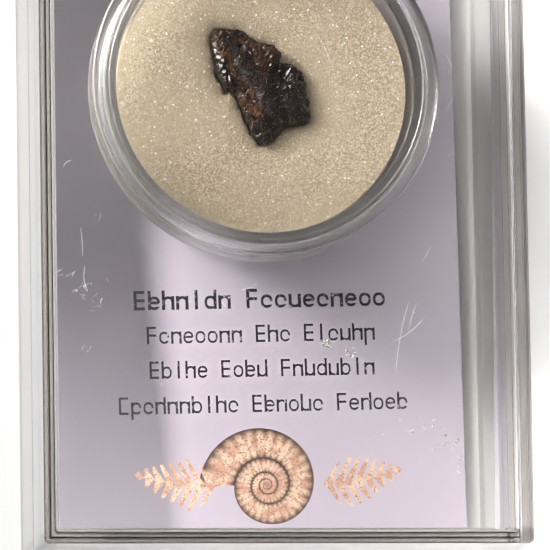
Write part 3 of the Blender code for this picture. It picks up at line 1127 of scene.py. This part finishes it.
def letters(tree, u, v, rolls, half_x, height, stroke):
    """Masks of a small letter and of a capital in each cell, drawn by three random numbers."""
    shape, cut, stem = rolls["Red"], rolls["Green"], rolls["Blue"]
    slim = stroke / 2
    low = between(tree, v, -height * 0.5, height * 0.5)
    up = between(tree, v, -height * 0.5, height * 0.92)
    down = between(tree, v, -height * 0.92, height * 0.5)
    at_left, at_right = near(tree, u, -half_x, slim), near(tree, u, half_x, slim)
    legs = both(tree, between(tree, cut, 0.35, 0.72), either(tree, at_left, at_right), low)
    stems = either(tree,
                   both(tree, calc(tree, "LESS_THAN", stem, 0.17), at_left, up),
                   both(tree, between(tree, stem, 0.17, 0.27), at_left, down),
                   both(tree, between(tree, stem, 0.27, 0.38), at_right, up))
    bowl = round_part(tree, u, v, cut, half_x, height, stroke)
    letter = both(tree, either(tree, bowl, legs, stems), calc(tree, "LESS_THAN", shape, 0.86))
    post = both(tree, calc(tree, "GREATER_THAN", shape, 0.86), near(tree, u, 0.0, slim), up)
    cap_bars = both(tree, near(tree, u, 0.0, half_x),
                    either(tree, near(tree, v, height * 0.92 - slim, slim),
                           both(tree, calc(tree, "LESS_THAN", cut, 0.6), near(tree, v, height * 0.2, slim)),
                           both(tree, calc(tree, "LESS_THAN", stem, 0.5),
                                near(tree, v, slim - height * 0.5, slim))))
    return either(tree, letter, post), either(tree, both(tree, at_left, up), cap_bars)


print("the print is turned by", round(math.degrees(PRINT_TURN), 2), "degrees on the card")

# %% [markdown]
# A row counts its cells from its start, picks the first cell of each word for a capital, and leaves
# the cells between the words empty.

# %% A row of made-up words
def made_up_row(tree, x, y, base, start, pitch, height, stroke, words, seed):
    """A mask of one row of made-up letters, in millimetres; words are their letter counts."""
    across = calc(tree, "DIVIDE", calc(tree, "SUBTRACT", x, start), pitch)
    cell = calc(tree, "FLOOR", across)
    u = calc(tree, "MULTIPLY", calc(tree, "SUBTRACT", calc(tree, "FRACT", across), 0.5), pitch)
    v = calc(tree, "SUBTRACT", y, base + height / 2)
    dice = node(tree, "TexWhiteNoise", {"noise_dimensions": "1D"}, W=calc(tree, "ADD", cell, seed))
    rolls = node(tree, "SeparateColor", Color=dice.outputs["Color"]).outputs
    small, capital = letters(tree, u, v, rolls, (pitch - stroke) / 2 - 0.10, height, stroke)
    firsts = [sum(words[:i]) + i for i in range(len(words))]
    gaps = [first - 1 for first in firsts[1:]]
    is_first = any_of(tree, cell, firsts)
    row = either(tree, both(tree, is_first, capital),
                 both(tree, calc(tree, "SUBTRACT", 1.0, is_first), small))
    last = sum(words) + len(words) - 1
    spaces = calc(tree, "SUBTRACT", 1.0, any_of(tree, cell, gaps))
    return both(tree, row, spaces, between(tree, cell, -0.5, last - 0.5))


print("letter helpers:", [helper.__name__ for helper in (any_of, round_part, letters)])

# %% [markdown]
# ## The printed picture
#
# Below the rows is a printed picture of the same size and colours as such cards carry: here an
# ammonite between two fern fronds. A coiled shell is a logarithmic spiral, so its whorls are the
# whole numbers of the logarithm of the distance less the turn, and its ribs are a wave round it.
# A frond is a midrib with slanted blades that are repeated by the fraction of the length.

# %% An ammonite and a fern frond
def ammonite(tree, x, y, radius):
    """Masks and shade of a coiled shell: where it is, and how light it is, from 0 to 1."""
    distance = calc(tree, "SQRT", calc(tree, "MULTIPLY_ADD", x, x, calc(tree, "MULTIPLY", y, y)))
    turn = calc(tree, "DIVIDE", calc(tree, "ARCTAN2", y, x), 2.0 * math.pi)
    growth = calc(tree, "DIVIDE", calc(tree, "LOGARITHM", calc(tree, "DIVIDE", distance, radius), math.e),
                  math.log(2.1))
    coil = calc(tree, "SUBTRACT", growth, turn)
    inside = calc(tree, "LESS_THAN", coil, -0.5)
    phase = calc(tree, "FRACT", calc(tree, "ADD", coil, 10.5))
    belly = calc(tree, "SINE", calc(tree, "MULTIPLY", phase, math.pi))
    rib_turn = calc(tree, "MULTIPLY_ADD", turn, 2.0 * math.pi * 30.0, calc(tree, "MULTIPLY", phase, 2.2))
    ribs = calc(tree, "MULTIPLY_ADD", calc(tree, "SINE", rib_turn), 0.5, 0.5)
    ridge = calc(tree, "MULTIPLY_ADD", ribs, 0.45, 0.55)
    light = calc(tree, "MULTIPLY", calc(tree, "POWER", belly, 0.7), ridge)
    return inside, light


def frond(tree, x, y, length, width, leaves):
    """A mask of a fern frond that grows along +X from the origin."""
    along = calc(tree, "DIVIDE", x, length)
    bend = calc(tree, "MULTIPLY", calc(tree, "MULTIPLY", along, along), -1.6)
    off = calc(tree, "ABSOLUTE", calc(tree, "ADD", y, bend))
    tip = calc(tree, "POWER", calc(tree, "MAXIMUM", calc(tree, "SUBTRACT", 1.0, along), 0.0), 0.7)
    edge = calc(tree, "MULTIPLY", calc(tree, "MULTIPLY", tip, step(tree, along, -0.12, 0.42)), width)
    sweep = calc(tree, "SUBTRACT", calc(tree, "MULTIPLY", along, leaves), calc(tree, "MULTIPLY", off, 0.45))
    leaf = calc(tree, "ABSOLUTE", calc(tree, "SUBTRACT", calc(tree, "FRACT", sweep), 0.5))
    outward = calc(tree, "DIVIDE", off, calc(tree, "MAXIMUM", edge, 0.01))
    slim = calc(tree, "MULTIPLY_ADD", outward, -0.26, 0.42)
    blades = both(tree, calc(tree, "LESS_THAN", off, edge), calc(tree, "LESS_THAN", leaf, slim))
    rib = calc(tree, "LESS_THAN", off, 0.11)
    return both(tree, either(tree, blades, rib), between(tree, along, 0.0, 1.0))


print("an ammonite's whorl here grows by 2.1 in a turn")

# %% [markdown]
# The card's ground is a pale lavender with a painted shade along its left edge, darkest at its back
# end and lighter towards its foot. Over it lie the rows in worn black ink, and then the picture. The
# pearly coating is a fairly smooth gloss with a fine mottle in it.

# %% Material of the card
# foot of the letters, pitch, height of a low letter, stroke, letters in each word, seed
ROWS_MM = (
    (-9.95, 1.70, 1.66, 0.37, (7, 10), 11.0),
    (-14.05, 1.46, 1.48, 0.27, (8, 3, 6), 23.0),
    (-18.25, 1.44, 1.48, 0.27, (5, 4, 8), 41.0),
    (-22.50, 1.46, 1.48, 0.27, (10, 6, 6), 67.0),
)
PICTURE_CENTRE_MM = (0.0, -31.3)


def card_material():
    """Pearly silver-lavender card with a painted shade along its left edge and generic printed marks."""
    material, tree, output, place = new_material("pearl_card")
    turned = node(tree, "Mapping", {"vector_type": "POINT"}, Vector=place)
    turned.inputs["Rotation"].default_value = (0.0, 0.0, -PRINT_TURN)
    turned.inputs["Scale"].default_value = (1000.0, 1000.0, 1000.0)
    split = node(tree, "SeparateXYZ", Vector=turned.outputs["Vector"])
    x, y = split.outputs["X"], split.outputs["Y"]
    # Painted shade: the card is dark along its left edge, darkest at its back end and lighter towards its
    # foot.
    left = step(tree, x, -15.2, -8.8)
    lower = step(tree, y, 2.0, -42.0)
    share = calc(tree, "MAXIMUM", left, calc(tree, "MULTIPLY", lower, 0.50))
    tone = blend(tree, share, (0.060, 0.0555, 0.0625, 1.0), (0.355, 0.318, 0.366, 1.0))
    rows = []
    for foot, pitch, height, stroke, words, seed in ROWS_MM:
        start = -(sum(words) + len(words) - 1) * pitch / 2
        rows.append(made_up_row(tree, x, y, foot, start, pitch, height, stroke, words, seed))
    worn = step(tree, texture(tree, "TexNoise", place, 2500.0, "Fac", Detail=4.0), 0.25, 0.42)
    ink = calc(tree, "MULTIPLY", either(tree, *rows), worn)
    tone = blend(tree, ink, tone, (0.012, 0.011, 0.014, 1.0))
    px = calc(tree, "SUBTRACT", x, PICTURE_CENTRE_MM[0])
    py = calc(tree, "SUBTRACT", y, PICTURE_CENTRE_MM[1])
    shell, shell_light = ammonite(tree, px, py, 8.2)
    right = frond(tree, calc(tree, "SUBTRACT", px, 6.8), py, 9.6, 4.4, 8.0)
    mirrored = calc(tree, "SUBTRACT", calc(tree, "MULTIPLY", px, -1.0), 6.0)
    left_frond = frond(tree, mirrored, py, 9.8, 4.4, 8.0)
    speckle = texture(tree, "TexNoise", place, 5200.0, "Fac", Detail=2.0)
    patch = texture(tree, "TexNoise", place, 800.0, "Fac", Detail=3.0)
    beige = blend(tree, step(tree, patch, 0.42, 0.6), (0.52, 0.38, 0.28, 1.0), (0.40, 0.235, 0.17, 1.0))
    beige = blend(tree, step(tree, speckle, 0.5, 0.68), beige, (0.21, 0.12, 0.075, 1.0))
    shaded = blend(tree, step(tree, shell_light, 0.0, 0.75), (0.035, 0.018, 0.015, 1.0), beige)
    tone = blend(tree, shell, tone, shaded)
    tone = blend(tree, either(tree, right, left_frond), tone, beige)
    mottle = texture(tree, "TexNoise", place, 3000.0, "Fac", Detail=3.0)
    shader = node(tree, "BsdfPrincipled", Base_Color=tone, Specular_IOR_Level=0.5)
    feed(tree, shader.inputs["Roughness"], calc(tree, "MULTIPLY_ADD", mottle, 0.1, 0.32))
    feed(tree, output.inputs["Surface"], shader.outputs[0])
    return material


wear(card, card_material())

# %% [markdown]
# ## Wear and dust on the lid
#
# The lid has slid about in a drawer. It has a few long hairline scratches, short ticks and some
# crumbs of old glue. The long ones are placed one by one, in millimetres. The rest are scattered in
# fields by a seeded generator, so every run makes the same marks.

# %% Places of the wear
# start, end and bow of the long scratches
LONG_SCRATCHES_MM = (
    ((12.6, -21.6), (14.3, -13.0), 0.25),
    ((12.2, -17.8), (16.1, -14.9), -0.3),
    ((14.2, -16.6), (15.2, -13.2), 0.1),
    ((-25.9, 2.6), (-24.9, 3.4), 0.25),
    ((-24.0, -4.4), (-23.8, -7.8), 0.1),
    ((-23.5, -8.9), (-23.2, -12.0), -0.3),
    ((19.2, 16.5), (20.4, 12.6), 0.2),
    ((19.6, 4.9), (22.0, 2.4), -0.2),
    ((20.3, 12.2), (19.2, 9.6), 0.1),
    ((-3.5, -10.9), (-5.4, -11.7), 0.2),
    ((17.0, -6.4), (15.8, -8.4), 0.15),
    ((4.0, 18.6), (5.6, 14.9), 0.25),
)
# middle, reach and number of the scattered ticks
TICK_FIELDS_MM = (
    ((-26.0, -9.9), (1.2, 0.4), 8),
    ((-23.6, -12.0), (0.8, 1.0), 12),
    ((-22.2, -13.4), (0.7, 0.9), 8),
    ((-21.8, -3.3), (0.5, 0.5), 3),
    ((19.8, 3.4), (1.6, 1.6), 10),
    ((19.2, 14.0), (1.2, 2.2), 9),
    ((20.9, -15.4), (0.9, 2.4), 7),
    ((18.2, -29.6), (3.2, 3.0), 12),
    ((20.7, -36.0), (0.5, 1.5), 6),
    ((-23.4, -18.6), (0.7, 0.5), 5),
    ((0.0, -5.0), (24.0, 30.0), 26),
)
CRUMB_FIELDS_MM = (
    ((4.4, -17.9), (0.75, 0.55), 40),
    ((7.3, -18.9), (0.9, 0.7), 26),
    ((16.4, -27.4), (1.3, 0.5), 14),
    ((14.2, -28.2), (0.9, 0.4), 8),
    ((18.4, -29.6), (2.2, 0.9), 30),
    ((20.0, -31.8), (1.4, 1.3), 20),
    ((-24.7, -11.8), (0.35, 0.3), 5),
    ((21.7, -13.8), (0.05, 0.05), 1),
)
STRAND_TOP = lid_high.z
print(len(LONG_SCRATCHES_MM), "long scratches,", sum(field[2] for field in TICK_FIELDS_MM), "ticks")

# %% [markdown]
# A scratch is a tiny closed strand that lies in the top of the lid: a curve with a bevel, thinner
# at its ends, that is made a mesh. The strands of one kind are joined into one piece.

# %% Model the scratches
def strand(points_mm, radius_mm):
    """A thin closed strand along some points, lying in the top of the lid."""
    line = bpy.data.curves.new("strand", "CURVE")
    line.dimensions = "3D"
    line.bevel_depth = radius_mm * MM
    line.bevel_resolution = 0
    line.use_fill_caps = True
    spline = line.splines.new("POLY")
    spline.points.add(len(points_mm) - 1)
    for index, (x, y) in enumerate(points_mm):
        ends = min(index, len(points_mm) - 1 - index)
        spline.points[index].co = (x * MM, y * MM, STRAND_TOP - radius_mm * MM, 1.0)
        spline.points[index].radius = min(1.0, 0.35 + 0.3 * ends)
    made = bpy.data.objects.new("strand", line)
    bpy.context.scene.collection.objects.link(made)
    return made


def merge(pieces, name):
    """Turn strands into meshes and join them into one piece."""
    bpy.ops.object.select_all(action="DESELECT")
    for piece in pieces:
        piece.select_set(True)
    bpy.context.view_layer.objects.active = pieces[0]
    bpy.ops.object.convert(target="MESH")
    bpy.ops.object.join()
    print(name, "is made of", len(pieces), "marks")
    return settle(name)


def make_scratches():
    """Long hairlines and short ticks."""
    dice = np.random.default_rng(7)
    strands = []
    for start, end, bow in LONG_SCRATCHES_MM:
        start, end = np.array(start), np.array(end)
        side = np.array([start[1] - end[1], end[0] - start[0]])
        side = side / np.linalg.norm(side)
        steps = np.linspace(0.0, 1.0, 14)
        line = [start + (end - start) * t + side * bow * math.sin(math.pi * t) + dice.normal(0.0, 0.012, 2)
                for t in steps]
        strands.append(strand(line, 0.020))
    for middle, reach, count in TICK_FIELDS_MM:
        for _ in range(count):
            start = np.array(middle) + np.array(reach) * dice.uniform(-1.0, 1.0, 2)
            angle, length = dice.uniform(0.0, math.pi), dice.uniform(0.15, 0.8)
            way = np.array([math.cos(angle), math.sin(angle)])
            line = [start + way * length * t + dice.normal(0.0, 0.02, 2) for t in (0.0, 0.35, 0.7, 1.0)]
            strands.append(strand(line, dice.uniform(0.012, 0.026)))
    return merge(strands, "lid_scratches")


scratches = make_scratches()

# %% [markdown]
# Each crumb is a small ball, squashed and turned, and set into the lid by most of its height.

# %% Model the crumbs
def make_crumbs():
    """Crumbs of glue and dust, each a small squashed ball, roughened and joined."""
    dice = np.random.default_rng(19)
    grains = []
    for middle, reach, count in CRUMB_FIELDS_MM:
        for _ in range(count):
            x, y = np.array(middle) + np.array(reach) * dice.normal(0.0, 0.5, 2)
            size = 0.055 + 0.15 * dice.uniform(0.0, 1.0) ** 2
            bpy.ops.mesh.primitive_ico_sphere_add(subdivisions=2, radius=1.0)
            grain = bpy.context.object
            grain.scale = (size * MM, size * dice.uniform(0.4, 0.8) * MM, min(size, 0.05) * MM)
            grain.rotation_euler = (0.0, 0.0, dice.uniform(0.0, math.pi))
            grain.location = (x * MM, y * MM, STRAND_TOP - 0.052 * MM)
            grains.append(grain)
    return merge(grains, "lid_crumbs")


crumbs = make_crumbs()

# %% [markdown]
# A scratch is white because its torn edges scatter light, and old glue is a dusty grey-beige. Both
# are matte next to the gloss of the lid, with a fine grain.

# %% Materials of the wear
def worn_material(name, dark, light, roughness):
    """A matte speck or scratch, in two tones."""
    material, tree, output, place = new_material(name)
    grain = texture(tree, "TexNoise", place, 6000.0, "Fac", Detail=2.0)
    tone = blend(tree, step(tree, grain, 0.4, 0.6), dark, light)
    shader = node(tree, "BsdfPrincipled", Base_Color=tone, Roughness=roughness)
    bump = node(tree, "Bump", Height=grain, Strength=0.4, Distance=0.01 * MM)
    feed(tree, shader.inputs["Normal"], bump.outputs["Normal"])
    feed(tree, output.inputs["Surface"], shader.outputs[0])
    return material


wear(scratches, worn_material("scratch_white", (0.42, 0.42, 0.43, 1.0), (0.80, 0.80, 0.81, 1.0), 0.5))
wear(crumbs, worn_material("glue_crumbs", (0.16, 0.14, 0.11, 1.0), (0.62, 0.60, 0.56, 1.0), 0.6))
for marks in (scratches, crumbs):
    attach(marks, BODY)
    print(marks.name, "has", triangles(marks), "triangles")

# %% [markdown]
# ## The studio
#
# The case stands on a plain white floor. In the photograph the jar's shadow runs to the right and a
# little to the front, and its rims shine at the left and, from inside, at the right. Both say that
# one soft lamp stands low at the left and slightly behind. The ceiling stays dark, because clear
# plastic mirrors it towards a camera above, and a bright one would lay a grey veil over the tooth.

# %% Directions and tones of the light
LAMP_DIRECTION = Vector((-0.803, 0.476, 0.358)).normalized()
FILL_DIRECTION = Vector((-0.30, -0.80, 0.50)).normalized()
LAMP_DISTANCE_MM = 800.0
HORIZON_TONE = (0.22, 0.225, 0.235, 1.0)
CEILING_TONE = (0.022, 0.022, 0.024, 1.0)


print("the lamp stands", round(math.degrees(math.asin(LAMP_DIRECTION.z)), 1), "degrees high")

# %% [markdown]
# The floor is wide and pale. It is a little greyer on the lamp's side, where a plain white would be
# far over-exposed and would drown the clear walls in its reflection.

# %% Floor
def add_floor():
    """A wide pale floor, just under the case."""
    bpy.ops.mesh.primitive_plane_add(size=4.0, location=(0.0, 0.0, -0.05 * MM))
    floor = settle("studio_floor")
    material, tree, output, place = new_material("pale_floor")
    speck = texture(tree, "TexNoise", place, 40.0, "Fac", Detail=3.0)
    across = node(tree, "SeparateXYZ", Vector=place).outputs["X"]
    away = step(tree, across, -26.0 * MM, 26.0 * MM)
    pale = blend(tree, away, (0.52, 0.52, 0.52, 1.0), (0.86, 0.86, 0.86, 1.0))
    tone = blend(tree, calc(tree, "MULTIPLY", speck, 0.05), pale, (1.0, 1.0, 1.0, 1.0))
    shader = node(tree, "BsdfPrincipled", Base_Color=tone, Roughness=0.8)
    feed(tree, output.inputs["Surface"], shader.outputs[0])
    wear(floor, material)


add_floor()

# %% [markdown]
# A window-like area lamp gives the shadow and the glints, a much weaker one fills the front, and
# the room is a plain gradient from its walls to its ceiling.

# %% Lamps and room
def add_lamp(name, direction, size_mm, power):
    """A rectangular soft lamp that looks at the case from one direction."""
    lamp = bpy.data.objects.new(name, bpy.data.lights.new(name, "AREA"))
    bpy.context.scene.collection.objects.link(lamp)
    lamp.data.shape = "RECTANGLE"
    lamp.data.size, lamp.data.size_y = (side * MM for side in size_mm)
    lamp.data.energy = power
    lamp.location = Vector(direction).normalized() * LAMP_DISTANCE_MM * MM
    lamp.rotation_mode = "QUATERNION"
    lamp.rotation_quaternion = (-lamp.location).to_track_quat("-Z", "Y")


def add_world():
    """A room with paler walls and a dark ceiling."""
    world = bpy.data.worlds.new("studio")
    bpy.context.scene.world = world
    world.use_nodes = True
    tree = world.node_tree
    shader = tree.nodes["Background"]
    shader.inputs["Strength"].default_value = 1.0
    height = node(tree, "SeparateXYZ", Vector=tree.nodes.new("ShaderNodeTexCoord").outputs["Generated"])
    tone = blend(tree, step(tree, height.outputs["Z"], 0.2, 0.75), HORIZON_TONE, CEILING_TONE)
    feed(tree, shader.inputs["Color"], tone)


add_world()
add_lamp("window", LAMP_DIRECTION, (190, 170), 19.5)
add_lamp("fill", FILL_DIRECTION, (500, 300), 1.1)
bpy.context.scene.view_settings.view_transform = "Standard"
